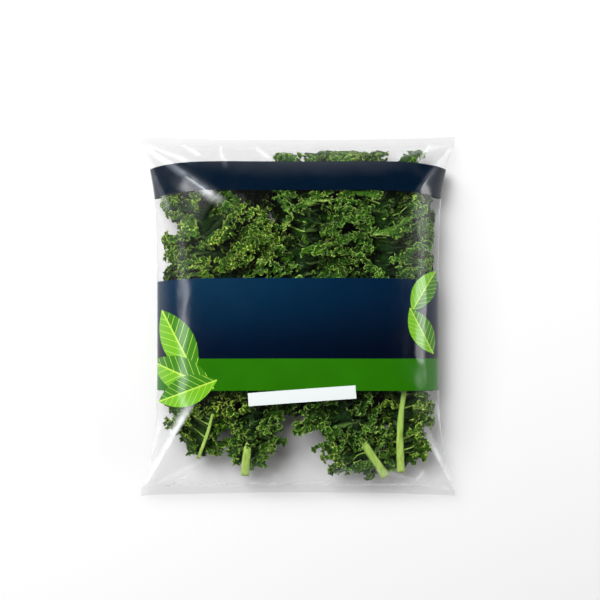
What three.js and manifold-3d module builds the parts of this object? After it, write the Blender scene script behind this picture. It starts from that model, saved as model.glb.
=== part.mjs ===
// A bag of curly kale lying on its back: fourteen frilled leaves, each with its stalk,
// in three layers inside one sealed pillow bag of clear film.
// Millimetres, +Z up, +Y towards the bag's top seal. The origin is under the middle of the bag,
// on the surface that it lies on.
import * as THREE from "three";
import { mergeVertices } from "three/addons/utils/BufferGeometryUtils.js";
import Module from "manifold-3d";

const wasm = await Module();
wasm.setup();

// The bag's driving dimensions.
const BAG_WIDTH = 280; // across an end seal
const WAIST_WIDTH = 249; // across the filled middle, where the round sides draw in
const BAG_LENGTH = 320; // from cut edge to cut edge, at the corners
const BAG_HEIGHT = 64; // of the filled middle
const SEAL_DEPTH = 6; // of each crimped end seal
const SEAL_DIP = 3; // how far the middle of a seal is drawn in by the fill
const SEAL_HEIGHT = 14; // of an end seal above the surface
const FOLD_HEIGHT = 26; // of the side folds above the surface, at the waist
const FILM = 0.8; // wall thickness
const WAIST_POWER = 4.5; // how suddenly the sides flare to the corners
const SEAM_POWER = 3; // how suddenly the side folds rise from the end seals
const FOOT_PRESS = 1.15; // over 1 presses the underside into a flat foot
const SLANT_ALLOWANCE = 1.1; // a wall is thicker measured upright where it slants
const LEAST_HOLLOW = 0.02; // keeps the two walls apart right up to the seams
const VENT_RADIUS = 3;
const VENT_SIDES = 12;
const VENTS = [
  [-66, 84],
  [66, 84],
  [-66, -84],
  [66, -84],
]; // punched through the back
const BAG_COLUMNS = 16;
const BAG_ROWS = 14;
const COLUMN_CROWD = 0.85; // how much closer the columns stand towards the sides
const ROW_CROWD = 0.6; // and the rows towards the seals

// How each face swells. A higher across or along keeps it full further towards the sides or the
// seals, and a higher sideRound or endRound lets it meet them more gently.
const CROWN = { across: 2.8, sideRound: 0.5, along: 4, endRound: 0.6 };
const FOOT = { across: 4, sideRound: 0.5, along: 5, endRound: 0.7 };

// The leaves' shared dimensions.
const BLADE = 1.0; // thickness, measured upright
const CLEARANCE = 1.3; // from a leaf's faces to the film
const FRILL_POWER = 1.5; // how the waves grow from the rib to the margin
const LOBE_DEPTH = 0.14; // share of the blade's width that its lobes cut in
const SIDE_VEIN_ANGLE = THREE.MathUtils.degToRad(78); // from the rib, at the foot of the blade
const TIP_POWER = 3; // how late the side veins turn forward towards the tip
const FOOT_WIDTH = 0.34; // share of a blade's full width at its foot and tip
const WIDEST = 0.75; // under 1, a blade is widest nearer to its foot
const FULLNESS = 0.7; // under 1, a blade stays wide for longer
const EVEN_WAVES = 0.65; // share of the waves that are regular
const UNEVEN_PACE = 0.61; // number of the other waves over that of the regular ones
const LOBE_TURN = 0.8; // radians by which the lobes lag behind the waves
const RIB_TAPER = 0.8; // how evenly the rib thins from the cut end to the tip
const RIB_TIP = 0.7; // half width of the rib where it runs out
const STALK_FLATTEN = 0.84; // height over width of a stalk's section
const GOLDEN_ANGLE = 2.39996; // radians between the waves of one leaf and the next

// Each layer's middle and half thickness, as shares of the room between the two films.
const TOP_LAYER = { middle: 0.8, half: 0.165 };
const MIDDLE_LAYER = { middle: 0.47, half: 0.14 };
const BACK_LAYER = { middle: 0.16, half: 0.14 };

// base and tip are the two ends of the rib's line in plan, bow is how far its middle is bent to
// the right of the straight line, sides are the blade's greatest widths left and right of it,
// bare is the share of the line with no blade, stalk is the half width of the cut end, and
// waves is the number of waves down one side.
const ordered = (layer) => (name, base, tip, bow, sides, bare, stalk, waves) => ({
  name,
  base,
  tip,
  bow,
  sides,
  bare,
  stalk,
  waves,
  layer,
});
const top = ordered(TOP_LAYER);
const middle = ordered(MIDDLE_LAYER);
const back = ordered(BACK_LAYER);
const LEAVES = [
  top("leaf_front_left", [-88, -125], [-82, -16], 12, [40, 16], 0.06, 1.6, 6),
  top("leaf_front_stalk", [-47, -141], [-20, -26], -5, [17, 27], 0.17, 3.3, 6),
  top("leaf_front_middle", [78, -142], [26, -28], -7, [37, 19], 0.13, 3.4, 6),
  top("leaf_front_right", [91, -138], [105, -22], -7, [13, 28], 0.12, 3, 6),
  top("leaf_head_left", [-46, 6], [-90, 103], -6, [40, 40], 0.05, 1.7, 6),
  top("leaf_head_middle", [0, -4], [18, 132], -5, [32, 32], 0.05, 1.8, 7),
  top("leaf_head_right", [72, 2], [66, 130], 8, [30, 36], 0.05, 1.8, 7),
  middle("leaf_middle_far_left", [-98, -100], [-97, 112], 2, [19, 20], 0.06, 2.2, 8),
  middle("leaf_middle_left", [-38, -110], [-40, 117], 2, [37, 35], 0.06, 2.6, 8),
  middle("leaf_middle_right", [39, -108], [41, 124], -2, [36, 35], 0.06, 2.6, 8),
  middle("leaf_middle_far_right", [97, -106], [98, 106], 2, [19, 20], 0.06, 2.2, 8),
  back("leaf_back_left", [-76, -112], [-74, 92], -4, [37, 37], 0.06, 2.8, 7),
  back("leaf_back_centre", [-2, -104], [-1, 117], 3, [36, 35], 0.06, 2.8, 7),
  back("leaf_back_right", [74, -110], [76, 90], 4, [37, 37], 0.06, 2.8, 7),
];
LEAVES.forEach((leaf, i) => (leaf.seed = i + 1)); // turns its waves
const STATIONS_PER_WAVE = 4; // along a blade
const STALK_STEPS = 3; // along the bare stalk
const RIB_SHOULDER = 0.68; // station between the rib's middle and its edge
const HALF_ACROSS = 0.5; // station between the rib's edge and the margin
const JUST_BELOW = 1e-3; // share of the rib between the bare stalk's last section and the blade

const MERGE_DISTANCE = 1e-4;
const SAME_PLACE = 1e-6;
const STATION_ROUNDS = 4; // enough to find a point's station to a hundredth of a millimetre

const leafGreen = new THREE.MeshStandardMaterial({ color: 0x3d6b22, roughness: 0.6 });
const clearFilm = new THREE.MeshStandardMaterial({
  color: 0xe8ecee,
  roughness: 0.12,
  transparent: true,
  opacity: 0.3,
});

// ---- solids from grids and rings ----

function solidOf(triangles) {
  const geometry = new THREE.BufferGeometry();
  geometry.setAttribute("position", new THREE.Float32BufferAttribute(triangles.flat(2), 3));
  return solidOfGeometry(geometry);
}

function solidOfGeometry(geometry) {
  const bare = geometry.clone();
  bare.deleteAttribute("normal");
  bare.deleteAttribute("uv");
  const merged = mergeVertices(bare, MERGE_DISTANCE);
  return new wasm.Manifold(
    new wasm.Mesh({
      numProp: 3,
      vertProperties: new Float32Array(merged.attributes.position.array),
      triVerts: new Uint32Array(merged.index.array),
    }),
  );
}

function geometryOf(solid) {
  const { numProp, vertProperties, triVerts } = solid.getMesh();
  const corners = [];
  for (const vertex of triVerts) {
    const at = vertex * numProp;
    corners.push(vertProperties[at], vertProperties[at + 1], vertProperties[at + 2]);
  }
  const geometry = new THREE.BufferGeometry();
  geometry.setAttribute("position", new THREE.Float32BufferAttribute(corners, 3));
  geometry.computeVertexNormals();
  return geometry;
}

const samePoint = (p, q) => p.every((value, k) => Math.abs(value - q[k]) < SAME_PLACE);
const isProper = ([a, b, c]) => !samePoint(a, b) && !samePoint(b, c) && !samePoint(c, a);

function quad(triangles, a, b, c, d) {
  triangles.push([a, b, c], [a, c, d]);
}

// ---- the bag ----

const sealLine = (u) => BAG_LENGTH / 2 - SEAL_DEPTH - SEAL_DIP * (1 - u * u);
const halfWidthAt = (v) =>
  (WAIST_WIDTH + (BAG_WIDTH - WAIST_WIDTH) * Math.abs(v) ** WAIST_POWER) / 2;
const seamHeight = (v) =>
  SEAL_HEIGHT + (FOLD_HEIGHT - SEAL_HEIGHT) * (1 - Math.abs(v) ** SEAM_POWER);
const positive = (x) => Math.max(0, x);

// How much of its full height a face has at a station: u runs across from fold to fold and
// v along from seal to seal, both from -1 to 1.
const swell = (face, u, v) =>
  positive(1 - Math.abs(u) ** face.across) ** face.sideRound *
  positive(1 - Math.abs(v) ** face.along) ** face.endRound;

const crownHeight = (u, v) => seamHeight(v) + (BAG_HEIGHT - FOLD_HEIGHT) * swell(CROWN, u, v);
const footHeight = (u, v) => positive(seamHeight(v) * (1 - FOOT_PRESS * swell(FOOT, u, v)));

// Stations from -1 to 1, closer together towards both ends.
const stations = (count, crowd) =>
  Array.from({ length: count + 1 }, (_, i) => {
    const even = (2 * i) / count - 1;
    return (1 - crowd) * even + crowd * Math.sin((even * Math.PI) / 2);
  });

// A closed skin from an upper and a lower point for each station of a grid.
function closedSkin(upper, lower) {
  const triangles = [];
  const rows = upper.length - 1;
  const columns = upper[0].length - 1;
  for (let j = 0; j < rows; j++)
    for (let i = 0; i < columns; i++) {
      quad(triangles, upper[j][i], upper[j][i + 1], upper[j + 1][i + 1], upper[j + 1][i]);
      quad(triangles, lower[j][i], lower[j + 1][i], lower[j + 1][i + 1], lower[j][i + 1]);
    }
  for (let i = 0; i < columns; i++) {
    quad(triangles, lower[0][i], lower[0][i + 1], upper[0][i + 1], upper[0][i]);
    quad(triangles, upper[rows][i], upper[rows][i + 1], lower[rows][i + 1], lower[rows][i]);
  }
  for (let j = 0; j < rows; j++) {
    quad(triangles, upper[j][0], upper[j + 1][0], lower[j + 1][0], lower[j][0]);
    quad(triangles, lower[j][columns], lower[j + 1][columns], upper[j + 1][columns], upper[j][columns]);
  }
  return triangles.filter(isProper);
}

function bagFilm() {
  const across = stations(BAG_COLUMNS, COLUMN_CROWD);
  const along = stations(BAG_ROWS, ROW_CROWD);
  const outerPoint = (u, v, height) => [u * halfWidthAt(v), v * sealLine(u), height];
  const sealPoint = (u, end, height) => [u * halfWidthAt(end), end * (sealLine(u) + SEAL_DEPTH), height];
  const skin = (heightAt, side) => [
    across.map((u) => sealPoint(u, -1, SEAL_HEIGHT + side * FILM)),
    ...along.map((v) => across.map((u) => outerPoint(u, v, heightAt(u, v)))),
    across.map((u) => sealPoint(u, 1, SEAL_HEIGHT + side * FILM)),
  ];
  // Two films lie face to face along the folds and seals, so the outside is never thinner.
  const outerTop = (u, v) => Math.max(crownHeight(u, v), seamHeight(v) + FILM);
  const outerFoot = (u, v) => Math.min(footHeight(u, v), seamHeight(v) - FILM);
  const outside = solidOf(closedSkin(skin(outerTop, 1), skin(outerFoot, -1)));

  const inset = (u, v, height) => [
    u * (halfWidthAt(v) - FILM),
    v * (sealLine(u) - FILM / 2),
    height,
  ];
  const wall = FILM * SLANT_ALLOWANCE;
  const atSeam = (u, v) => Math.max(Math.abs(u), Math.abs(v)) > 1 - SAME_PLACE;
  const innerTop = (u, v) =>
    atSeam(u, v) ? seamHeight(v) : Math.max(crownHeight(u, v) - wall, seamHeight(v) + LEAST_HOLLOW);
  const innerFoot = (u, v) =>
    atSeam(u, v) ? seamHeight(v) : Math.min(footHeight(u, v) + wall, seamHeight(v) - LEAST_HOLLOW);
  const room = solidOf(
    closedSkin(
      along.map((v) => across.map((u) => inset(u, v, innerTop(u, v)))),
      along.map((v) => across.map((u) => inset(u, v, innerFoot(u, v)))),
    ),
  );
  return VENTS.reduce(
    (film, vent) => film.subtract(ventPunch(vent)),
    outside.subtract(room),
  );
}

function ventPunch([x, y]) {
  const depth = FILM * 6; // well through the one wall
  const punch = new THREE.CylinderGeometry(VENT_RADIUS, VENT_RADIUS, depth, VENT_SIDES);
  punch.rotateX(Math.PI / 2).translate(x, y, 0);
  return solidOfGeometry(punch);
}

// ---- the room for a leaf ----

// The station of a point in plan, found from the bag's outline by a few rounds.
function stationOf(x, y) {
  let u = 0;
  let v = 0;
  for (let round = 0; round < STATION_ROUNDS; round++) {
    v = THREE.MathUtils.clamp(y / sealLine(u), -1, 1);
    u = THREE.MathUtils.clamp(x / halfWidthAt(v), -1, 1);
  }
  return [u, v];
}

// The height of a share of the room at a point, with half the thickness of what lies there kept
// clear of both films.
function heightInBag(x, y, share, halfThickness) {
  const [u, v] = stationOf(x, y);
  const spare = FILM + CLEARANCE + halfThickness;
  const low = footHeight(u, v) + spare;
  const high = crownHeight(u, v) - spare;
  return high > low ? low + share * (high - low) : (low + high) / 2;
}

// ---- a leaf ----

// The rib's line in plan and its direction, at a share of its length.
function ribAt(leaf, share) {
  const base = new THREE.Vector2(...leaf.base);
  const along = new THREE.Vector2(...leaf.tip).sub(base);
  const right = new THREE.Vector2(along.y, -along.x).normalize();
  const bend = leaf.bow * Math.sin(Math.PI * share);
  const slope = (leaf.bow * Math.PI * Math.cos(Math.PI * share)) / along.length();
  return {
    point: base.addScaledVector(along, share).addScaledVector(right, bend),
    forward: along.clone().normalize().addScaledVector(right, slope).normalize(),
  };
}

// The large waves, from -1 to 1, along the margin: m is -1 where the blade starts on the left,
// 0 at the tip and 1 where it starts on the right.
function frill(leaf, m) {
  const turn = leaf.seed * GOLDEN_ANGLE;
  const even = Math.sin(2 * Math.PI * leaf.waves * m + turn);
  const uneven = Math.sin(2 * Math.PI * leaf.waves * UNEVEN_PACE * m + 2 * turn + 1);
  return EVEN_WAVES * even + (1 - EVEN_WAVES) * uneven;
}

function lobe(leaf, m) {
  return Math.cos(2 * Math.PI * leaf.waves * m + leaf.seed * GOLDEN_ANGLE + LOBE_TURN);
}

// Share of the full half width at a share of the blade's length.
const bladeProfile = (share) =>
  FOOT_WIDTH + (1 - FOOT_WIDTH) * positive(Math.sin(Math.PI * share ** WIDEST)) ** FULLNESS;

const ribRadius = (leaf, share) => leaf.stalk * positive(1 - share) ** RIB_TAPER + RIB_TIP;

// The points of one half of a leaf's section, from the rib's middle to the margin, each as a
// point in plan with half the thickness there. side is -1 on the left and 1 on the right.
function sectionPoints(leaf, side, ribShare) {
  const rib = ribAt(leaf, ribShare);
  const right = new THREE.Vector2(rib.forward.y, -rib.forward.x);
  const radius = ribRadius(leaf, ribShare);
  const share = (ribShare - leaf.bare) / (1 - leaf.bare); // of the blade's length
  const onBlade = share >= 0;
  const m = side * (1 - share);
  const [leftWidth, rightWidth] = leaf.sides;
  const ownWidth = side < 0 ? leftWidth : rightWidth;
  const tipWidth = (leftWidth + rightWidth) / 2; // the two halves meet there
  const full = THREE.MathUtils.lerp(ownWidth, tipWidth, positive(share) ** TIP_POWER);
  const width = onBlade ? full * bladeProfile(share) * (1 + LOBE_DEPTH * lobe(leaf, m)) : radius;
  const spread = onBlade ? SIDE_VEIN_ANGLE * (1 - share ** TIP_POWER) : Math.PI / 2;
  const stops = [0, RIB_SHOULDER * radius, radius, radius + HALF_ACROSS * (width - radius), width];
  return stops.map((out) => {
    const plan = rib.point
      .clone()
      .addScaledVector(rib.forward, out * Math.cos(spread))
      .addScaledVector(right, side * out * Math.sin(spread));
    const wave = onBlade ? frill(leaf, m) * (out / width) ** FRILL_POWER : 0;
    const round = Math.sqrt(positive(1 - (out / radius) ** 2)) * radius * STALK_FLATTEN;
    const thick = Math.max(BLADE / 2, round);
    const { middle, half } = leaf.layer;
    return { plan, thick, z: heightInBag(plan.x, plan.y, middle + half * wave, radius) };
  });
}

// The rib shares at which a leaf's section is taken.
function ribShares(leaf) {
  const steps = STATIONS_PER_WAVE * leaf.waves;
  const stalk = Array.from({ length: STALK_STEPS }, (_, i) => (leaf.bare * i) / STALK_STEPS);
  const justBelowBlade = leaf.bare - JUST_BELOW;
  const blade = Array.from(
    { length: steps + 1 },
    (_, i) => leaf.bare + ((1 - leaf.bare) * i) / steps,
  );
  return [...stalk, justBelowBlade, ...blade];
}

// One closed skin: the rib is the thick middle of the section, and the blade its thin wings.
function leafSolid(leaf) {
  const triangles = [];
  const face = (rows, side) =>
    rows.map((row) => row.map(({ plan, thick, z }) => [plan.x, plan.y, z + side * thick]));
  const turned = (side, list) => (side > 0 ? list : [...list].reverse());
  for (const side of [-1, 1]) {
    const rows = ribShares(leaf).map((share) => sectionPoints(leaf, side, share));
    const upper = face(rows, 1);
    const lower = face(rows, -1);
    const last = rows[0].length - 1;
    for (let i = 0; i < rows.length - 1; i++) {
      for (let k = 0; k < last; k++) {
        const corners = (f) => [f[i][k], f[i][k + 1], f[i + 1][k + 1], f[i + 1][k]];
        const [a, b, c, d] = corners(upper);
        const [p, q, r, s] = corners(lower);
        triangles.push(turned(side, [a, b, c]), turned(side, [a, c, d]));
        triangles.push(turned(-side, [p, q, r]), turned(-side, [p, r, s]));
      }
      const [a, b] = [upper[i][last], upper[i + 1][last]];
      const [p, q] = [lower[i][last], lower[i + 1][last]];
      triangles.push(turned(side, [a, p, q]), turned(side, [a, q, b]));
    }
    for (let k = 0; k < last; k++) {
      const [a, b] = [upper[0][k], upper[0][k + 1]];
      const [p, q] = [lower[0][k], lower[0][k + 1]];
      triangles.push(turned(side, [a, p, q]), turned(side, [a, q, b]));
    }
  }
  return solidOf(triangles.filter(isProper));
}

// ---- the part ----

function namedMesh(name, solid, material) {
  const mesh = new THREE.Mesh(geometryOf(solid), material);
  mesh.name = name;
  return mesh;
}

const kaleBag = new THREE.Group();
kaleBag.add(namedMesh("bag_film", bagFilm(), clearFilm));
for (const leaf of LEAVES) kaleBag.add(namedMesh(leaf.name, leafSolid(leaf), leafGreen));

export default kaleBag;
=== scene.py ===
"""A sealed bag of curly kale lying on its back: one clear printed pillow bag, and in it fourteen
frilled leaves on their stalks, in three layers. Metres, +Z up, +Y towards the bag's top seal."""

import math
from collections import namedtuple

import bpy
import numpy as np
from bpy.props import FloatProperty, FloatVectorProperty, PointerProperty
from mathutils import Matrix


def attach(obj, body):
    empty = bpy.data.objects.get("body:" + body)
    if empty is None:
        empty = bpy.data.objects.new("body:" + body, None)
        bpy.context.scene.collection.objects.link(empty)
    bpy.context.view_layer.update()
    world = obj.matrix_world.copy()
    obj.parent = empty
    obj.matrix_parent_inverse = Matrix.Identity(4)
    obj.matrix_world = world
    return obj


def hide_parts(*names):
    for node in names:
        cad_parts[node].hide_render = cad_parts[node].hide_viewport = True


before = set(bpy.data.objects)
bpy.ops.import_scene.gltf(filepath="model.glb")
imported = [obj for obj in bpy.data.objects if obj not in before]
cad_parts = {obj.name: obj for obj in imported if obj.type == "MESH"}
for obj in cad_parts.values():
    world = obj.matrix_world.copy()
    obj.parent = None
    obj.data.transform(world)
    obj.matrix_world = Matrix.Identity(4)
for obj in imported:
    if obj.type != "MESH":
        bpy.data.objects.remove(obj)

bl_info = {
    "name": "Bag of curly kale",
    "version": (1, 0, 0),
    "blender": (4, 5, 0),
    "location": "View3D > Sidebar > Kale bag",
    "description": "Makes a clear pillow bag of curly kale leaves around its packed frame",
    "category": "Add Mesh",
}

MM = 0.001

# ---- the bag's shape, as the frame has it ----

BAG_WIDTH = 280 * MM
WAIST_WIDTH = 249 * MM
WAIST_POWER = 4.5
BAG_LENGTH = 320 * MM
BAG_HEIGHT = 64 * MM
SEAL_DEPTH = 6 * MM
SEAL_DIP = 3 * MM
SEAL_HEIGHT = 14 * MM
FOLD_HEIGHT = 26 * MM
FOOT_PRESS = 1.15  # over 1, the foot lies flat on the floor in its middle
FILM = 0.8 * MM
CLEARANCE = 1.3 * MM
# How flat the middle is and how round the edges are, across and along the bag.
UPPER_SWELL = ((2.8, 0.5), (4, 0.6))
LOWER_SWELL = ((4, 0.5), (5, 0.7))
CREASED_SWELL = ((12, 1), (24, 1))  # its folds and creases die away just before the seams

# Printed bands, by their place on the flat film: lower and upper edge from the bag's middle.
HEAD_BAND = (110 * MM, 136 * MM)
MAIN_PANEL = (-36 * MM, 33.4 * MM)
GREEN_BAND = (-63.8 * MM, -36 * MM)


def positive(x):
    return np.maximum(x, 0.0)


def swell(u, v, shape):
    """1 in the bag's middle and 0 at its edges, across and along it."""
    share = 1
    for place, (flatness, roundness) in zip((u, v), shape):
        share = share * positive(1 - np.abs(place) ** flatness) ** roundness
    return share


def seal_line(u):
    return BAG_LENGTH / 2 - SEAL_DEPTH - SEAL_DIP * (1 - u * u)


def half_width_at(v):
    return (WAIST_WIDTH + (BAG_WIDTH - WAIST_WIDTH) * np.abs(v) ** WAIST_POWER) / 2


def seam_height(v):
    return SEAL_HEIGHT + (FOLD_HEIGHT - SEAL_HEIGHT) * (1 - np.abs(v) ** 3)


def crown_height(u, v):
    return seam_height(v) + (BAG_HEIGHT - FOLD_HEIGHT) * swell(u, v, UPPER_SWELL)


def foot_height(u, v):
    return positive(seam_height(v) * (1 - FOOT_PRESS * swell(u, v, LOWER_SWELL)))


def station_of(plan):
    """Where points in plan are across (u) and along (v) the bag, both from -1 to 1."""
    x, y = plan[..., 0], plan[..., 1]
    u = np.zeros_like(x)
    for _ in range(4):  # each depends a little on the other
        v = np.clip(y / seal_line(u), -1, 1)
        u = np.clip(x / half_width_at(v), -1, 1)
    return u, v


def printed_over(y):
    """Whether the print hides what lies at that place along the bag."""
    under_panel = (y > GREEN_BAND[0]) & (y < MAIN_PANEL[1])
    return under_panel | ((y > HEAD_BAND[0]) & (y < HEAD_BAND[1]))


# ---- small tools ----

GOLDEN_ANGLE = 2.39996  # radians, sets like things apart by their number
# The waves that wander adds up: strength, fineness, and how the seed and a fixed angle shift them.
WANDER_WAVES = ((1, 1, 1, 0), (0.7, 1.73, 2.1, 1), (0.5, 2.9, 3.3, 2))
# Shift the random lattices, in their cells, off the bag's middle.
PLAN_SHIFT = (31.3, 31.7)
SPACE_SHIFT = 511.3


def smooth(low, high, x):
    """0 below low, 1 above high, and smooth between them."""
    share = np.clip((x - low) / (high - low), 0, 1)
    return share * share * (3 - 2 * share)


def wander(x, seed, wavelength):
    """A smooth uneven wave along x, from about -1 to 1, that is the same for the same seed."""
    turn = seed * GOLDEN_ANGLE
    k = 2 * np.pi * x / wavelength
    waves = [size * np.sin(fine * k + shift * turn + start) for size, fine, shift, start in WANDER_WAVES]
    return sum(waves) / 1.7


def blended(lattice, place):
    """Values of a lattice of vectors, repeated without end, smoothly blended at places in it."""
    corner = np.floor(place).astype(int)
    share = place - corner
    share = share * share * (3 - 2 * share)
    total = 0
    for step in np.ndindex(*[2] * place.shape[-1]):
        weight = np.where(step, share, 1 - share).prod(-1)
        nearest = tuple(np.moveaxis((corner + step) % len(lattice), -1, 0))
        total = total + weight[..., None] * lattice[nearest]
    return total


def cloud(plan, cell, seed):
    """Smooth random heights, from -1 to 1, on a lattice in plan of that cell size."""
    lattice = np.random.default_rng(seed).uniform(-1, 1, (64, 64, 1))
    return blended(lattice, plan / cell + PLAN_SHIFT)[..., 0]


def turmoil(points, cell, seed):
    """Smooth random vectors, each part from -1 to 1, on a lattice in space of that cell size."""
    lattice = np.random.default_rng(seed).uniform(-1, 1, (32, 32, 32, 3))
    return blended(lattice, points / cell + SPACE_SHIFT)


def unit(vectors):
    return vectors / np.maximum(np.linalg.norm(vectors, axis=-1, keepdims=True), 1e-12)


def right_of(forward):
    """Directions in plan at a right angle to the right of these."""
    return np.stack([forward[..., 1], -forward[..., 0]], -1)


def raised(plan, height):
    return np.concatenate([plan, height[..., None]], -1)


def full_turn(count):
    return np.linspace(0, 2 * np.pi, count, endpoint=False)


def numbered(rows, columns):
    return np.arange(rows * columns).reshape(rows, columns)


def closed(index):
    """Numbers of points in rings, with each ring's first point again at its end."""
    return np.concatenate([index, index[:, :1]], 1)


def grid_faces(index):
    return np.stack([index[:-1, :-1], index[:-1, 1:], index[1:, 1:], index[1:, :-1]], -1).reshape(-1, 4)


def running_length(steps):
    return np.concatenate([[0], np.cumsum(steps)])


def steps_along(line):
    return np.linalg.norm(np.diff(line, axis=0), axis=-1)


def select_only(*pieces):
    bpy.ops.object.select_all(action="DESELECT")
    for piece in pieces:
        piece.select_set(True)
    bpy.context.view_layer.objects.active = pieces[0]


def new_piece(name, points, faces, material):
    """A mesh object from points and a list of face arrays, smooth shaded and made active."""
    corners = np.concatenate([f.ravel() for f in faces])
    sizes = np.concatenate([np.full(len(f), f.shape[1]) for f in faces])
    mesh = bpy.data.meshes.new(name)
    mesh.vertices.add(len(points))
    mesh.vertices.foreach_set("co", np.asarray(points, np.float32).ravel())
    mesh.loops.add(len(corners))
    mesh.loops.foreach_set("vertex_index", corners.astype(np.int32))
    mesh.polygons.add(len(sizes))
    mesh.polygons.foreach_set("loop_start", (np.cumsum(sizes) - sizes).astype(np.int32))
    mesh.update(calc_edges=True)
    mesh.validate()
    mesh.materials.append(material)
    piece = bpy.data.objects.new(name, mesh)
    bpy.context.scene.collection.objects.link(piece)
    select_only(piece)
    bpy.ops.object.shade_smooth()
    return piece


def point_values(piece, **values):
    """Stores values for each point, which the materials read by their names."""
    for name, numbers in values.items():
        attribute = piece.data.attributes.new(name, "FLOAT", "POINT")
        attribute.data.foreach_set("value", np.asarray(numbers, np.float32))


def finish_piece(piece, replaced):
    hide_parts(replaced)
    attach(piece, "root")


# ---- the leaves ----

# middle and half are shares of the room between the films: how high the layer's middle lies, and
# how far its large waves swing. columns are a blade's mesh columns, light scales the leaves' colour as
# painted shade that darkens the lower layers, and curl_pitch is the distance between the small curls on
# them.
Layer = namedtuple("Layer", "middle half columns light curl_pitch")
TOP_LAYER = Layer(0.8, 0.165, 1001, 1.0, 3.4 * MM)
MIDDLE_LAYER = Layer(0.47, 0.14, 401, 0.6, 6 * MM)
BACK_LAYER = Layer(0.16, 0.14, 241, 0.7, 12 * MM)

# In millimetres: base and tip are the rib's ends in plan, bow is how far it bends to the right
# between them, sides are the blade's widths left and right of it, and stalk is its radius at the
# base. Shares of the rib's length: up to bare it has no blade, up to open_rib it lies open on the
# blade and from there on runs beneath it, and side_ribs are the two between which side ribs lie on
# the blade. waves are the large waves, and the lobes, of either side, reach is how much wider the
# blade grows towards its tip, and under 1, curly brings the ruffles nearer to the rib.
Leaf = namedtuple(
    "Leaf", "name base tip bow sides bare stalk waves open_rib side_ribs reach layer curly seed"
)


def leaf_group(group, layer, curly, first_seed, rows):
    leaves = []
    for number, (name, *row) in enumerate(rows):
        leaves.append(Leaf("leaf_" + group + name, *row, layer, curly, first_seed + number))
    return leaves


FRONT_LEAVES = leaf_group("front_", TOP_LAYER, 0.6, 1, [
    ("left", (-88, -125), (-82, -16), 12, (40, 16), 0.03, 0.9, 6, 0.35, (0.03, 0.35), 0.2),
    ("stalk", (-47, -141), (-20, -26), -5, (17, 27), 0.1, 3.3, 6, 0.2, (0.1, 0.2), 0.2),
    ("middle", (78, -142), (26, -28), -7, (37, 19), 0.05, 3.4, 6, 0.26, (0.05, 0.26), 0.2),
    ("right", (91, -138), (105, -22), -7, (13, 28), 0.04, 3.0, 6, 1.0, (0.04, 1.0), 0.2),
])
HEAD_LEAVES = leaf_group("head_", TOP_LAYER, 0.42, 5, [
    ("left", (-46, 6), (-90, 103), -6, (40, 48), 0.05, 1.7, 6, 0, None, 0.5),
    ("middle", (0, -4), (18, 132), -5, (32, 40), 0.05, 1.8, 7, 0, (0.45, 0.8), 1.35),
    ("right", (72, 2), (66, 130), 8, (30, 44), 0.05, 1.8, 7, 0, (0.45, 0.8), 1.35),
])
MIDDLE_LEAVES = leaf_group("middle_", MIDDLE_LAYER, 0.42, 8, [
    ("far_left", (-98, -100), (-97, 112), 2, (24, 20), 0.06, 2.2, 8, 0, None, 0.1),
    ("left", (-38, -110), (-40, 117), 2, (46, 35), 0.06, 2.6, 8, 0, None, -0.1),
    ("right", (39, -108), (41, 124), -2, (36, 35), 0.06, 2.6, 8, 0, None, 1.8),
    ("far_right", (97, -106), (98, 106), 2, (19, 28), 0.06, 2.2, 8, 0, None, 1.3),
])
BACK_LEAVES = leaf_group("back_", BACK_LAYER, 0.6, 12, [
    ("left", (-76, -112), (-74, 92), -4, (37, 37), 0.06, 2.8, 7, -0.1, None, 1.2),
    ("centre", (-2, -104), (-1, 117), 3, (42, 35), 0.06, 2.8, 7, -0.1, None, 0.3),
    ("right", (74, -110), (76, 90), 4, (37, 37), 0.06, 2.8, 7, -0.1, None, 0.1),
])

# ---- a leaf's line and the room it has ----

RIB_TAPER = 0.8
RIB_TIP = 0.7 * MM
RIB_DIVE = 0.08  # share of its length in which an open rib goes beneath the blade
LEAF_GAP = 0.6 * MM  # between a leaf and the film
LEAST_ROOM = 0.1 * MM
# Shares of the way to the bag's sides, its seals and the film from which a leaf is drawn in, and
# those that its blade, its ruffles and its curls never reach.
EASED_ACROSS = 0.88
EASED_ALONG = 0.9
EASED_UPWARDS = 0.6
BLADE_END = 0.965
RUFFLE_END = 0.99
CURL_END = 0.995


def rib_at(leaf, share):
    """Points in plan of the rib's line, and its direction there."""
    base = np.array(leaf.base) * MM
    along = np.array(leaf.tip) * MM - base
    length = np.hypot(*along)
    right = right_of(along) / length
    bend = leaf.bow * MM * np.sin(np.pi * share)
    slope = leaf.bow * MM * np.pi * np.cos(np.pi * share) / length
    point = base + share[..., None] * along + bend[..., None] * right
    return point, unit(along / length + slope[..., None] * right)


def rib_share(leaf, m):
    """Share of the rib's length at which the blade's column at m grows from it."""
    return leaf.bare + (1 - leaf.bare) * (1 - np.abs(m))


def rib_cover(leaf, share):
    """0 where the rib lies open on the blade, and 1 where the blade runs over it."""
    return smooth(leaf.open_rib, leaf.open_rib + RIB_DIVE, share)


def off_open_rib(leaf, m, t):
    """0 on a rib that lies open on the blade, and 1 away from it."""
    bare_rib = 1 - rib_cover(leaf, rib_share(leaf, m))
    return 1 - bare_rib * smooth(0.3, 0.1, t)


def layer_span(leaf, plan):
    """Height of the layer's middle at points in plan, the room in the bag, and the room that a
    leaf has above and below that middle."""
    u, v = station_of(plan)
    low = foot_height(u, v)
    high = crown_height(u, v)
    spare = FILM + CLEARANCE + 1 * MM
    room = positive(high - low - 2 * spare)
    middle = low + spare + leaf.layer.middle * room
    above = np.maximum(high - FILM - LEAF_GAP - middle, LEAST_ROOM)
    below = np.maximum(middle - low - FILM - LEAF_GAP, LEAST_ROOM)
    return middle, room, above, below


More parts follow.
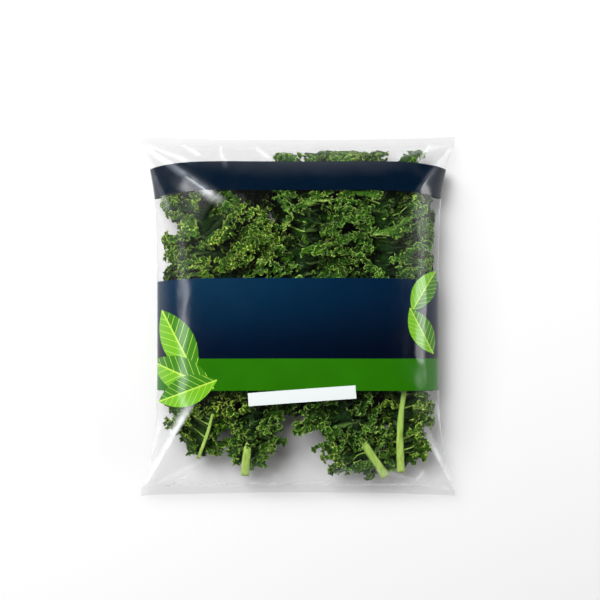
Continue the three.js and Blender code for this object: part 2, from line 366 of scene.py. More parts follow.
def eased(place, edge, start, end):
    """Places, from 0 outwards, kept up to the share start of the way to the edge and beyond it
    drawn in, so that none reaches the share end."""
    share = np.abs(place) / edge
    room = end - start
    drawn_in = start + room * np.tanh(positive(share - start) / room)
    return np.sign(place) * edge * np.where(share < start, share, drawn_in)


def kept_in_plan(plan, end):
    """Points in plan eased inwards so that none passes the bag's sides and seals."""
    u, v = station_of(plan)
    x = eased(plan[..., 0], half_width_at(v), EASED_ACROSS, end)
    y = eased(plan[..., 1], seal_line(u), EASED_ALONG, end)
    return np.stack([x, y], -1)


def held_between(lift, above, below):
    """Heights over the layer's middle, eased to the room above and below it."""
    return eased(lift, np.where(lift > 0, above, below), EASED_UPWARDS, 1)


# ---- a leaf's blade: m runs round its margin from -1 through 0 at the tip to 1, and t from the
# rib at 0 to the margin at 1 ----

SIDE_VEIN_ANGLE = math.radians(78)
VEINS_A_SIDE = 9
VEIN_THICKNESS = (0.08, 0.02)  # by the rib and at the margin, in distances between veins

# Rows of a blade from rib to margin: each band's start and end, as shares, and its rows. Each
# band has twice the columns of the one before it.
ROW_BANDS = [(0.0, 0.2, 3), (0.2, 0.5, 5), (0.5, 1.0, 9)]
COLUMN_ROUNDS = 2
HIDDEN_COLUMNS = 0.3  # times as many where print hides the blade

# Ruffles from large to small: wavelength, steepest slope angle in radians at the margin, and the
# shares of the blade's width where they begin and are full.
Ruffle = namedtuple("Ruffle", "wavelength slope start full")


def blade_profile(share):
    return 0.34 + 0.66 * positive(np.sin(np.pi * share**0.75)) ** 0.7


def big_waves(leaf, m):
    turn = leaf.seed * GOLDEN_ANGLE
    even = np.sin(2 * np.pi * leaf.waves * m + turn)
    uneven = np.sin(2 * np.pi * leaf.waves * 0.61 * m + 2 * turn + 1)
    return 0.65 * even + 0.35 * uneven


def lobe_share(leaf, m):
    """1 at the end of a lobe and 0 in the cut between two."""
    return 0.5 + 0.5 * np.cos(2 * np.pi * leaf.waves * m + leaf.seed * GOLDEN_ANGLE + 0.8)


def blade_width(leaf, m, look):
    """Width of the blade on its side of the rib, with the cuts between its lobes."""
    share = 1 - np.abs(m)
    left_side, right_side = leaf.sides
    full = np.where(m < 0, left_side, right_side)
    full = (full + ((left_side + right_side) / 2 - full) * share**3) * look.spread * MM
    cut = look.lobe_depth * (1 - lobe_share(leaf, m) ** 0.7) * (1 - share**6)
    full = full * (1 + leaf.reach * share**4)
    return full * blade_profile(share) * (1.06 - cut) * (1 + 0.06 * wander(m, leaf.seed + 3, 0.13))


def rim_curve(leaf, m, t, look):
    """How far across and how high the blade's rows lie, in its widths, as its rim turns up by an
    angle that wanders along the margin."""
    turn_up = look.curl * (0.65 + 0.5 * wander(m, leaf.seed + 11, 0.31))
    turn_up = turn_up * smooth(look.curl_start, 1, t**leaf.curly)
    step = np.diff(t, axis=0)
    angle = (turn_up[1:] + turn_up[:-1]) / 2
    none = np.zeros_like(turn_up[:1])
    run = np.concatenate([none, np.cumsum(np.cos(angle) * step, axis=0)])
    rise = np.concatenate([none, np.cumsum(np.sin(angle) * step, axis=0)])
    return run / np.maximum(run[-1:], 0.7), rise


def blisters(plan, seed, look):
    """Uneven bumps with creases between them, coarse and fine."""
    coarse = cloud(plan, look.blister_pitch, seed)
    fine = cloud(plan, look.blister_pitch / 2, seed + 50)
    return look.blister * (2 * np.abs(coarse) - 0.5 + 0.6 * fine)


def blade_base(leaf, m, t, look):
    """The blade with its lobes, its large waves and its upturned rim, before the ruffles."""
    side = np.where(m < 0, -1.0, 1.0)
    share = 1 - np.abs(m)
    point, forward = rib_at(leaf, rib_share(leaf, m))
    width = blade_width(leaf, m, look)
    run, rise = rim_curve(leaf, m, t, look)
    out = run * width
    spread = SIDE_VEIN_ANGLE * (1 - share**5)
    sideways = (side * out * np.sin(spread))[..., None] * right_of(forward)
    plan = point + (out * np.cos(spread))[..., None] * forward + sideways
    plan = kept_in_plan(plan, BLADE_END)
    middle, room, _, _ = layer_span(leaf, plan)
    waves = leaf.layer.half * room * big_waves(leaf, m) * t**1.5
    sunk = look.sink * room * smooth(0, 0.3, t)
    bumps = blisters(plan, leaf.seed, look) * smooth(0.95, 0.5, t) * off_open_rib(leaf, m, t)
    return raised(plan, middle + waves + rise * width - sunk + bumps)


def bessel(order, x):
    """The Bessel function of the first kind, by its series."""
    total = 0
    for k in range(8):
        factorials = math.factorial(k) * math.factorial(k + order)
        total = total + (-1) ** k * (x / 2) ** (2 * k + order) / factorials
    return total


def meander(phase, slope):
    """A winding line of that steepest slope, as offsets along and out of its course in radians
    of its wavelength: the first terms of its Bessel series."""
    growth = 1 / bessel(0, slope)
    along = growth * (bessel(2, slope) * np.sin(2 * phase) + 0.5 * bessel(4, slope) * np.sin(4 * phase))
    out = -growth * (2 * bessel(1, slope) * np.cos(phase) + 2 / 3 * bessel(3, slope) * np.cos(3 * phase))
    return along, out


def ruffled(leaf, m, t, look):
    """The blade's points, [rows, columns, 3], with every ruffle, kept inside the bag."""
    points = blade_base(leaf, m, t, look)
    depth = t**leaf.curly
    for number, ruffle in enumerate(look.ruffles):
        # A ruffle has its wavelength where it is half grown, so it is never squeezed by the rib.
        row = np.searchsorted(depth[:, 0], (ruffle.start + ruffle.full) / 2)
        run = running_length(steps_along(points[row]))[None, :]
        turn = leaf.seed * GOLDEN_ANGLE * (number + 2)
        phase = 2 * np.pi * run / ruffle.wavelength + turn + 1.2 * np.sin(3.1 * t + turn)
        phase = phase + 0.8 * wander(run, leaf.seed * 7 + number, ruffle.wavelength * 3.1)
        strength = 0.85 + 0.15 * wander(run, leaf.seed * 5 + number, ruffle.wavelength * 2.3)
        slope = ruffle.slope * strength * smooth(ruffle.start, ruffle.full, depth)
        along, out = meander(phase, slope)
        course = unit(np.gradient(points, axis=1))
        normal = unit(np.cross(course, unit(np.gradient(points, axis=0))))
        radians = ruffle.wavelength / (2 * np.pi)
        points = points + radians * (along[..., None] * course + out[..., None] * normal)
    run = running_length(steps_along(points[-1]))[None, :]
    teeth = look.tooth * wander(run, leaf.seed + 41, look.tooth_pitch) * smooth(0.85, 1, t)
    points = points + teeth[..., None] * unit(np.gradient(points, axis=0))
    crinkle = turmoil(points, look.crinkle_pitch, leaf.seed)
    crinkle = crinkle + 0.5 * turmoil(points, look.crinkle_pitch / 2, leaf.seed)
    points = points + look.crinkle * crinkle * off_open_rib(leaf, m, t)[..., None]
    plan = kept_in_plan(points, RUFFLE_END)
    middle, _, above, below = layer_span(leaf, plan)
    above = np.maximum(above - 0.6 * look.curl_size, 0.3 * above)
    lift = held_between(points[..., 2] - middle, above, np.minimum(below, look.droop))
    return raised(plan, middle + lift)


def blade_grid(leaf, look):
    """Shares across the blade, the places of its columns round the margin, and its points."""
    rows = [np.linspace(start, end, count, endpoint=False) for start, end, count in ROW_BANDS]
    t = np.concatenate(rows + [[1.0]])[:, None]
    count = leaf.layer.columns
    m = np.linspace(-1, 1, count)
    for _ in range(COLUMN_ROUNDS):  # spreads the columns along the ruffled margin
        points = ruffled(leaf, m[None, :], t, look)
        steps = steps_along(points[-1]) + 0.3 * steps_along(points[len(t) // 2])
        run = running_length(steps * np.where(printed_over(points[-1, 1:, 1]), HIDDEN_COLUMNS, 1))
        m = np.interp(np.linspace(0, run[-1], count), run, m)
        m = (m - m[::-1]) / 2
    return t, m, ruffled(leaf, m[None, :], t, look)


def vein_share(m, t, seed):
    """1 on a side vein's line and 0 away from it, narrower towards the margin."""
    course = np.abs(m) * VEINS_A_SIDE + 0.35 * wander(m, seed + 21, 0.4) + 0.25 * t
    off = np.abs(course - np.round(course))
    by_rib, at_margin = VEIN_THICKNESS
    thickness = (by_rib - at_margin) * (1 - t) + at_margin
    return smooth(1, 0, off / thickness) * smooth(0.92, 0.55, t)


def band_faces(inner, outer):
    """Faces between two rows of points, of which the outer may have twice as many spaces."""
    if len(inner) == len(outer):
        return [np.stack([inner[:-1], inner[1:], outer[1:], outer[:-1]], -1)]
    first, between, second = outer[:-1:2], outer[1::2], outer[2::2]
    corners = ((inner[:-1], between, first), (inner[:-1], inner[1:], between), (inner[1:], second, between))
    return [np.stack(corner, -1) for corner in corners]


def blade_sheet(leaf, t, m, points, look):
    """Points, faces, margin share and vein share of the blade as one sheet."""
    count = len(m)
    last = len(ROW_BANDS) - 1
    strides = []
    for number, (_, _, rows) in enumerate(ROW_BANDS):
        strides += [2 ** (last - number)] * rows
    strides.append(1)
    vein = vein_share(m[None, :], t, leaf.seed)
    normal = unit(np.cross(np.gradient(points, axis=1), np.gradient(points, axis=0)))
    points = points - normal * (look.vein_height * vein)[..., None]

    taken = 0
    kept = []
    lines = []
    for row, stride in enumerate(strides):
        columns = np.arange(0, count, stride)
        if row == 0:  # both halves share the rib's line
            columns = columns[columns <= count // 2]
        line = taken + np.arange(len(columns))
        lines.append(line if row else np.append(line, line[-2::-1]))
        kept.append(row * count + columns)
        taken += len(columns)
    faces = []
    for inner, outer in zip(lines[:-1], lines[1:]):
        faces += band_faces(inner, outer)
    kept = np.concatenate(kept)
    margin = np.broadcast_to(t, vein.shape).ravel()[kept]
    return points.reshape(-1, 3)[kept], faces, margin, vein.ravel()[kept]


# ---- a leaf's stalk and ribs ----

STALK_SIDES = 20
STALK_RINGS = 40
STALK_FLATTEN = 0.84
STALK_RIDGES = 9
RIB_LENGTH = 0.97  # share of its line along which the rib can be told from the blade
COVERED_RIB = 0.45  # times the thickness of an open one
# Rings within a tube's end: their size, and their share of the depth by which it is dished.
END_RINGS = ((0.4, 0.8), (0.8, 0.3))
CUT_DISH = 0.6 * MM

# Pale side ribs branch off the rib and lie on the blade.
SIDE_RIB_PITCH = 20 * MM
SIDE_RIB_ROWS = 9
SIDE_RIB_SIDES = 6
SIDE_RIB_RADIUS = 0.8 * MM
SIDE_RIB_END = 0.35  # times its thickness at the start
SIDE_RIB_TONE = 0.4  # 0 is the green of the bare stalk, and 1 that of the veins
SIDE_RIB_CLEARANCE = 3.2 * MM  # between it and the curls
PALE_REACH = (6 * MM, 2 * MM)  # from it, where the blade begins to pale and is palest


def stalk_section(leaf):
    """The stalk's outline to the right and up, ridged all round and grooved on top."""
    turn = full_turn(STALK_SIDES)
    ridges = 1 + 0.045 * np.cos(STALK_RIDGES * turn + leaf.seed)
    groove = 1 - 0.22 * np.exp(-(((turn - np.pi / 2) / 0.45) ** 2))
    outline = ridges * groove
    return np.cos(turn) * outline, np.sin(turn) * outline * STALK_FLATTEN


def rib_tube(leaf, look):
    """Points, faces and length share of the stalk and rib, with its ridges and its cut end."""
    share = np.linspace(0, RIB_LENGTH, STALK_RINGS) ** 1.1
    plan, forward = rib_at(leaf, share)
    cover = rib_cover(leaf, share)
    radius = leaf.stalk * MM * positive(1 - share) ** RIB_TAPER + RIB_TIP
    radius = radius * (1 - (1 - COVERED_RIB) * cover)
    knotted = (radius * (1 + 0.05 * wander(share, leaf.seed + 31, 0.21)))[:, None]
    middle, _, _, _ = layer_span(leaf, plan)
    sunk = (1.3 * radius + look.blister) * cover
    across, up = stalk_section(leaf)
    sides = (knotted * across)[..., None] * right_of(forward)[:, None, :]
    rings = raised(plan[:, None, :] + sides, (middle - sunk)[:, None] + knotted * up)

    base, tip = rings[0].mean(axis=0), rings[-1].mean(axis=0)
    dish = CUT_DISH * np.append(forward[0], 0)
    base_rings = [base + (rings[0] - base) * size + depth * dish for size, depth in END_RINGS]
    tip_rings = [tip + (rings[-1] - tip) * size for size, _ in reversed(END_RINGS)]
    rings = np.stack([*base_rings, *rings, *tip_rings])
    index = numbered(len(rings), STALK_SIDES)
    around = closed(index)
    faces = [grid_faces(around)[:, ::-1]]
    for end, ring in enumerate((around[0], around[-1, ::-1])):
        faces.append(np.stack([ring[:-1], ring[1:], np.full(STALK_SIDES, index.size + end)], -1))
    points = np.concatenate([rings.reshape(-1, 3), [base + dish, tip]])
    ends = len(END_RINGS)
    shares = np.repeat(np.concatenate([[-1] * ends, share, [1] * ends]), STALK_SIDES)
    return points, faces, np.append(shares, [-1, 1])


def side_rib_lines(leaf, m, points):
    """Lines of points on the blade along which side ribs run: on either side of the rib, in each
    stretch of it, the column that lies highest."""
    if not leaf.side_ribs:
        return []
    share = rib_share(leaf, m)
    height = points[2:SIDE_RIB_ROWS, :, 2].mean(axis=0)
    length = np.hypot(*(np.array(leaf.tip) - leaf.base)) * MM
    low, high = leaf.side_ribs
    ends = np.linspace(low, high, round((high - low) * length / SIDE_RIB_PITCH) + 1)
    lines = []
    for low, high in zip(ends[:-1], ends[1:]):
        for side in (-1, 1):
            near = np.flatnonzero((np.sign(m) == side) & (share > low) & (share < high))
            lines.append(points[:SIDE_RIB_ROWS, near[np.argmax(height[near])]])
    return lines


def off_line(points, line):
    """Distance in plan from each point to the nearest of a line's points."""
    return np.linalg.norm(points[:, None, :2] - line[None, :, :2], axis=-1).min(axis=1)


def side_rib_tubes(lines):
    """Points and faces of the side ribs: tapered tubes along those lines."""
    turn = full_turn(SIDE_RIB_SIDES)[None, :, None]
    radius = SIDE_RIB_RADIUS * np.linspace(1, SIDE_RIB_END, SIDE_RIB_ROWS)[:, None, None]
    index = numbered(SIDE_RIB_ROWS, SIDE_RIB_SIDES)
    tubes = []
    faces = []
    for number, line in enumerate(lines):
        line = np.concatenate([line[:1], (line[:-2] + line[1:-1] + line[2:]) / 3, line[-1:]])
        line[:, 2] += SIDE_RIB_RADIUS
        course = unit(np.gradient(line, axis=0))
        right = unit(np.cross(course, (0, 0, 1)))
        up = np.cross(right, course)
        ring = np.cos(turn) * right[:, None] + np.sin(turn) * up[:, None]
        tubes.append((line[:, None] + radius * ring).reshape(-1, 3))
        for face in (grid_faces(closed(index))[:, ::-1], index[:1], index[-1:, ::-1]):
            faces.append(face + number * index.size)
    return tubes, faces


# ---- the small curls on a leaf ----

CURL_COLUMNS = 7
CURL_ROWS = 4
CURL_START = 0.2  # share of the blade's width from which curls grow
CURL_CLEARANCE = 6.5 * MM  # between them and the line of an open rib
HIDDEN_CURLS = 0.2  # times as many grow where print hides them
CURL_JITTER = 3 * MM  # so much lower a seat may lie and still be taken for the highest
CURL_SUNK = 0.3 * MM  # how deep its foot sits in the blade
DIVE_MIDDLE = 0.07  # share of the rib past open_rib, about which curls hide its dive


def curl_seats(leaf, m, t, points, side_ribs):
    """Rows and columns of the blade's points on which curls grow: in each small square in plan
    one of those that stand highest."""
    rng = np.random.default_rng(leaf.seed)
    cell = np.floor(points[..., :2] / leaf.layer.curl_pitch + 0.37 * leaf.seed).astype(int)
    rank = points[..., 2] + rng.uniform(0, CURL_JITTER, points.shape[:2])
    order = np.argsort(-rank, axis=None)
    _, first = np.unique(cell.reshape(-1, 2)[order], axis=0, return_index=True)
    row, column = np.unravel_index(order[first], points.shape[:2])
    seat = points[row, column]
    seen = ~printed_over(seat[:, 1]) | (rng.uniform(size=len(row)) < HIDDEN_CURLS)
    share = rib_share(leaf, m[column])
    off_rib = np.linalg.norm((seat - points[0, column])[:, :2], axis=1)
    beside_rib = (share > leaf.open_rib) | (off_rib > CURL_CLEARANCE)
    rib_dives = np.abs(share - leaf.open_rib - DIVE_MIDDLE) < RIB_DIVE
    grown = seen & (((t[row, 0] > CURL_START) & beside_rib) | rib_dives)
    for line in side_ribs:
        grown &= off_line(seat, line) > SIDE_RIB_CLEARANCE
    return row[grown], column[grown]


def curls(leaf, m, t, points, side_ribs, look):
    """Points, faces, share of depth and number of the small curls that stand on the blade: each
    is a fan that rises from its seat, turns over and waves at its rim."""
    row, column = curl_seats(leaf, m, t, points, side_ribs)
    count = len(row)
    rng = np.random.default_rng(leaf.seed + 100)

    def each(low, high):
        return rng.uniform(low, high, count)[:, None, None]

    outward = np.gradient(points, axis=0)[row, column]
    heading = np.arctan2(outward[:, 1], outward[:, 0])[:, None, None] + each(-1.6, 1.6)
    depth = np.linspace(0, 1, CURL_ROWS)[None, :, None]
    across = np.linspace(-1, 1, CURL_COLUMNS)[None, None, :]
    size = look.curl_size * each(0.6, 1.3)
    size = size * (1 + 0.3 * depth * rng.uniform(-1, 1, (count, 1, CURL_COLUMNS)))
    slope = each(0.3, 1.3) - each(0.2, 1.2) * depth
    slope = slope + look.curl_wave * depth * np.sin(4.6 * across + each(0, 6.3))
    step = np.where(depth > 0, size / (CURL_ROWS - 1), 0)
    run = 0.15 * size + np.cumsum(np.cos(slope) * step, axis=1)
    rise = np.cumsum(np.sin(slope) * step, axis=1)
    turn = heading + each(0.8, 1.5) * across
    seat = points[row, column][:, None, None, :]
    plan = seat[..., :2] + np.stack([run * np.cos(turn), run * np.sin(turn)], -1)
    plan = kept_in_plan(plan, CURL_END)
    middle, _, above, below = layer_span(leaf, plan)
    lift = held_between(seat[..., 2] + rise - CURL_SUNK - middle, above, below)
    index = numbered(CURL_ROWS, CURL_COLUMNS)
    number = np.arange(count)[:, None, None]
    faces = grid_faces(index)[:, ::-1] + number * index.size
    depth = np.broadcast_to(depth, run.shape).ravel()
    number = np.broadcast_to(number, run.shape).ravel()
    return raised(plan, middle + lift).reshape(-1, 3), faces.reshape(-1, 4), depth, number


# ---- a whole leaf ----

# Tones along the blade's greens, of which 1 is the rim's: at the margin, beside a side rib, at a
# curl's foot, and how much more at a curl's rim.
# Low tones by the rib and at a curl's foot are painted shade deep between the curls; the pale rim is partly
# the frills' own paler green and partly painted highlight.
MARGIN_TONE = 0.75
PALE_TONE = 0.22
CURL_TONES = (0.3, 0.75)
CURL_LIGHT = 0.4  # by which single curls are lighter or darker


def make_blade(leaf, look, material, t, m, grid, side_ribs):
    points, faces, margin, vein = blade_sheet(leaf, t, m, grid, look)
    pale = np.zeros(len(points))
    for line in side_ribs:
        pale = np.maximum(pale, smooth(*PALE_REACH, off_line(points, line)))
    curl_points, curl_faces, depth, number = curls(leaf, m, t, grid, side_ribs, look)
    faces.append(curl_faces + len(points))
    points = np.concatenate([points, curl_points])
    rng = np.random.default_rng(leaf.seed + 200)
    shades = rng.uniform(-1, 1, (2, number.max(initial=-1) + 1))[:, number]
    foot_tone, more_at_rim = CURL_TONES
    blade = new_piece(leaf.name + "_curled", points, faces, material)
    point_values(
        blade,
        # Painted shade by the rib and at the curls' feet, and painted highlight in part on their pale rims.
        margin=np.append(MARGIN_TONE * margin + PALE_TONE * pale, foot_tone + more_at_rim * depth),
        tone=math.sin(1.7 * leaf.seed) + np.append(0 * margin, shades[0]),
        # Painted shade: the lower layers' leaves darker; single curls lighter or darker at random.
        light=leaf.layer.light * np.append(0 * margin + 1, 1 + CURL_LIGHT * shades[1]),
        vein=np.append(vein, 0 * depth),
    )
    thicken = blade.modifiers.new("Blade", "SOLIDIFY")
    thicken.thickness = look.thickness
    thicken.offset = 0
    bpy.ops.object.modifier_apply(modifier=thicken.name)
    return blade


def make_ribs(leaf, look, material, side_ribs):
    points, faces, share = rib_tube(leaf, look)
    tubes, tube_faces = side_rib_tubes(side_ribs)
    faces += [face + len(points) for face in tube_faces]
    points = np.concatenate([points, *tubes])
    ribs = new_piece(leaf.name + "_rib", points, faces, material)
    side_share = np.full(len(points) - len(share), SIDE_RIB_TONE)
    point_values(ribs, margin=np.zeros(len(points)), vein=np.append(share, side_share))
    return ribs


def make_leaf(leaf, look, blade_material, stalk_material):
    t, m, grid = blade_grid(leaf, look)
    side_ribs = side_rib_lines(leaf, m, grid)
    blade = make_blade(leaf, look, blade_material, t, m, grid, side_ribs)
    ribs = make_ribs(leaf, look, stalk_material, side_ribs)
    select_only(blade, ribs)
    bpy.ops.object.join()
    finish_piece(blade, leaf.name)


# ---- the film's shape ----

FILM_COLUMNS = 144
FILM_ROWS = 144
SEAL_ROWS = 14
FILM_HALF = 0.15 * MM  # half thickness of the two films where they lie together
DEEPEST_DENT = -0.3 * MM  # keeps the film clear of the curls that press against it
LOWEST_FOOT = 0.4 * MM
CRIMP_PITCH = 1.5 * MM
CRIMP_HEIGHT = 0.22 * MM
SEAL_RIPPLE = 0.5 * MM
PRINT_BEND = 0.057  # how far the print's upper edges run up towards the bag's sides
CREST_RADIUS = 0.9 * MM  # how rounded the crests of its folds are
CREST_SHARE = 0.75  # of a fold's height is left once its crest is rounded
GLINT_CELL = 5 * MM  # size of the gaps in the painted highlight along a crest
# Coarse and fine creases: their size in millimetres, their height and their seed.
CREASES = ((26, 1.3, 3), (11, 0.5, 4))

# Folds of the front: start and end in plan, height, reach to the left and right of the line, where along
# it the fold is highest, and the strength of the painted highlight on its crest. Lengths in millimetres.
Fold = namedtuple("Fold", "start end height left right peak haze")
FOLDS = [
    Fold((-137, 152), (-60, 98), 5.5, 2.5, 11, 0.86, 1.0),
    Fold((-138, 150), (-108, 84), 2.4, 3, 7, 0.5, 0.25),
    Fold((-137, 153), (-88, 132), 2.0, 5, 2, 0.5, 0.4),
    Fold((-70, 152), (-62, 128), 1.5, 3, 4, 0.2, 0.3),
    Fold((137, 152), (100, 104), 4.6, 8, 3, 0.7, 0.35),
    Fold((138, 148), (118, 60), 2.4, 5, 3, 0.6, 0.3),
    Fold((136, 153), (80, 138), 1.8, 3, 6, 0.4, 0.2),
    Fold((-139, -155), (-86, -66), 5.0, 9, 3, 0.7, 1.0),
    Fold((-139, -152), (-117, -82), 2.4, 4, 2.5, 0.5, 0.4),
    Fold((-138, -155), (-72, -120), 2.2, 3, 8, 0.4, 0.3),
    Fold((140, -156), (108, -94), 4.6, 3, 7, 0.7, 0.7),
    Fold((139, -152), (120, -66), 2.6, 2.5, 5, 0.5, 0.6),
    Fold((138, -155), (60, -132), 2.0, 7, 3, 0.4, 0.25),
    Fold((20, -152), (44, -132), 1.5, 5, 3, 0.4, 0.3),
    Fold((-128, -149), (60, -147), 1.3, 2.0, 3.0, 0.6, 0.5),
    Fold((30, -150), (132, -148), 1.2, 1.5, 3.0, 0.5, 0.5),
    Fold((-104, 153), (-84, 141), 1.8, 2.0, 4.0, 0.4, 0.6),
    Fold((-40, 152), (-22, 137), 1.6, 1.5, 5.0, 0.4, 0.5),
    Fold((118, 153), (104, 134), 1.8, 3.0, 2.0, 0.5, 0.6),
    Fold((-118, -152), (-92, -138), 1.6, 3.0, 1.5, 0.4, 0.6),
    Fold((-30, -152), (-14, -136), 1.4, 3.0, 2.0, 0.4, 0.4),
    Fold((100, -153), (112, -134), 1.6, 2.0, 3.0, 0.4, 0.6),
]


def fold_ridge(plan, fold):
    """How near to the fold's crest a point lies, 1 on it, and its share of the fold's length."""
    start = np.array(fold.start) * MM
    along = np.array(fold.end) * MM - start
    length = np.hypot(*along)
    x, y = np.moveaxis(plan - start, -1, 0)
    share = (x * along[0] + y * along[1]) / length**2
    off = (y * along[0] - x * along[1]) / length
    reach = np.where(off > 0, fold.left, fold.right) * MM * (0.3 + np.clip(share, 0, 1))
    return np.exp((CREST_RADIUS - np.sqrt(off**2 + CREST_RADIUS**2)) / reach), share


def fold_lift(plan, fold):
    """A crest along the fold's line, steeper on its shorter side."""
    ridge, share = fold_ridge(plan, fold)
    rising = np.clip(share / fold.peak, 0, 1) ** 0.7
    falling = np.clip((1 - share) / (1 - fold.peak), 0, 1)
    return CREST_SHARE * fold.height * MM * ridge * np.minimum(rising, smooth(0, 1, falling))


def crest_haze(plan):
    """Painted highlight: how much milky white is painted along the crests of the folds."""
    gaps = np.clip(0.75 + 0.45 * cloud(plan, GLINT_CELL, 9), 0, 1)
    haze = 0
    for fold in FOLDS:
        ridge, share = fold_ridge(plan, fold)
        crest = smooth(0.45, 1.0, ridge) * smooth(0, 0.1, share) * smooth(1, 0.7, share)
        haze = np.maximum(haze, fold.haze * crest * gaps)
    return haze


def crumple(plan, u, v):
    """Small sharp creases, more of them by the corners, seals and sides than in the middle."""
    edge = smooth(0.55, 0.95, np.abs(u)) + smooth(0.7, 0.97, np.abs(v))
    corner = smooth(0.6, 0.95, np.abs(u)) * smooth(0.5, 0.9, np.abs(v))
    lift = 0
    for cell, height, seed in CREASES:
        wide = cloud(plan * (1, 0.6), cell * MM, seed)
        lift = lift + height * MM * (0.35 - np.abs(wide)) * (0.18 + 0.5 * edge + 0.6 * corner)
    return lift


def graded(count, even_share):
    """Places from -1 to 1, in so many steps that are shorter towards both ends."""
    even = np.linspace(-1, 1, count + 1)
    return even_share * even + (1 - even_share) * np.sin(even * np.pi / 2)


def seal_strip(u):
    """Points of the upper seal half way between its films: crimped, and rippled at its edge."""
    depth = np.linspace(0, SEAL_DEPTH, SEAL_ROWS + 1)[1:, None]
    u = np.broadcast_to(u, (SEAL_ROWS, len(u)))
    crimp = CRIMP_HEIGHT * np.sin(2 * np.pi * depth / CRIMP_PITCH)
    ripple = SEAL_RIPPLE * wander(u, 5, 0.7) * smooth(0, SEAL_DEPTH, depth)
    return raised(np.stack([u * half_width_at(1.0), seal_line(u) + depth], -1), SEAL_HEIGHT + crimp + ripple)


def film_sheets(u, v, look):
    """Upper and lower points of the film, [rows, columns, 3], with the seals at both ends."""
    plan = np.stack([u * half_width_at(v), v * seal_line(u)], -1)
    seam = seam_height(v)
    inside = swell(u, v, CREASED_SWELL)
    lift = np.maximum(crumple(plan, u, v), DEEPEST_DENT)
    lift = lift + look.crease * sum(fold_lift(plan, fold) for fold in FOLDS)
    top = np.maximum(crown_height(u, v) + lift * inside, seam + FILM_HALF)
    dent = 0.5 * inside * crumple(plan, u, -v)
    foot = np.minimum(foot_height(u, v) + FILM_HALF - dent, seam - FILM_HALF)
    strip = seal_strip(u[0])
    sheets = []
    for height, half in ((top, FILM_HALF), (np.maximum(foot, LOWEST_FOOT), -FILM_HALF)):
        upper = strip + (0, 0, half)
        lower = upper[::-1] * (1, -1, 1)
        sheets.append(np.concatenate([lower, raised(plan, height), upper]))
    return sheets


def flat_places(u, v):
    """Places of the film's points, the seals' too, on the flat film that it is printed on."""
    x = u[:1] * WAIST_WIDTH / 2
    y = (v + PRINT_BEND * smooth(-0.3, 0.8, v) * np.abs(u) ** 5) * seal_line(0)
    depth = np.linspace(0, SEAL_DEPTH, SEAL_ROWS + 1)[1:, None]
    y = np.concatenate([y[:1] - depth[::-1], y, y[-1:] + depth])
    return np.stack([np.broadcast_to(x, y.shape), y], -1)


def make_film(look, material):
    u, v = np.meshgrid(graded(FILM_COLUMNS, 0.35), graded(FILM_ROWS, 0.6))
    upper, lower = film_sheets(u, v, look)
    top = numbered(*upper.shape[:2])
    foot = top + top.size
    faces = [grid_faces(top), grid_faces(foot)[:, ::-1]]
    walls = ((foot[0], top[0]), (top[-1], foot[-1]), (top[:, 0], foot[:, 0]), (foot[:, -1], top[:, -1]))
    faces += [grid_faces(np.stack(wall)) for wall in walls]
    points = np.concatenate([upper.reshape(-1, 3), lower.reshape(-1, 3)])
    film = new_piece("bag_film_creased", points, faces, material)
    # The painted highlight along the fold crests, on the upper sheet only.
    haze = crest_haze(upper[..., :2]).ravel()
    point_values(film, haze=np.append(haze, 0 * haze))
    places = np.concatenate([flat_places(u, v).reshape(-1, 2)] * 2)
    layer = film.data.uv_layers.new(name="FlatFilm")
    corner_points = np.empty(len(film.data.loops), np.int32)
    film.data.loops.foreach_get("vertex_index", corner_points)
    layer.data.foreach_set("uv", places[corner_points].astype(np.float32).ravel())
    finish_piece(film, "bag_film")


# ---- materials ----


class Nodes:
    """Adds and links the nodes of one material or world."""

    def __init__(self, block):
        block.use_nodes = True
        self.block = block
        self.tree = block.node_tree
        self.tree.nodes.clear()

    def fill(self, socket, value):
        if isinstance(value, bpy.types.NodeSocket):
            self.tree.links.new(value, socket)
        elif socket.type == "RGBA":
            socket.default_value = (*value, 1)
        else:
            socket.default_value = value

    def add(self, kind, *values, output=0, **named):
        """Adds a node and gives one of its outputs. The values fill its first inputs, a name with
        a capital is another input, and one in small letters is a setting of the node."""
        node = self.tree.nodes.new("ShaderNode" + kind)
        for socket, value in zip(node.inputs, values):
            self.fill(socket, value)
        for name, value in named.items():
            if name.islower():
                setattr(node, name, value)
            else:
                self.fill(node.inputs[name.replace("_", " ")], value)
        return node.outputs[output]

    def math(self, operation, *values, clamp=False):
        return self.add("Math", *values, operation=operation, use_clamp=clamp)

    def mix(self, share, first, second, blend="MIX"):
        mixed = self.add("Mix", share, data_type="RGBA", blend_type=blend, output=2)
        for socket, value in zip(mixed.node.inputs[6:8], (first, second)):
            self.fill(socket, value)
        return mixed

    def tint(self, colour, factor):
        return self.mix(1.0, colour, factor, "MULTIPLY")

    def attribute(self, name):
        return self.add("Attribute", attribute_name=name, output="Fac")

    def noise(self, place, scale, detail):
        return self.add("TexNoise", place, Scale=scale, Detail=detail)

    def ramp(self, share, *stops):
        colour = self.add("ValToRGB", share)
        elements = colour.node.color_ramp.elements
        while len(elements) < len(stops):
            elements.new(0.5)
        for element, (place, shade) in zip(elements, stops):
            element.position = place
            element.color = (*shade, 1)
        return colour

    def steps(self, value, low, high):
        """0 below low, 1 above high."""
        return self.add("MapRange", value, low, high, interpolation_type="SMOOTHSTEP")

    def finish(self, shader):
        output = self.tree.nodes.new("ShaderNodeOutput" + type(self.block).__name__)
        self.tree.links.new(shader, output.inputs["Surface"])
        return self.block


def new_material(name):
    return Nodes(bpy.data.materials.new(name))


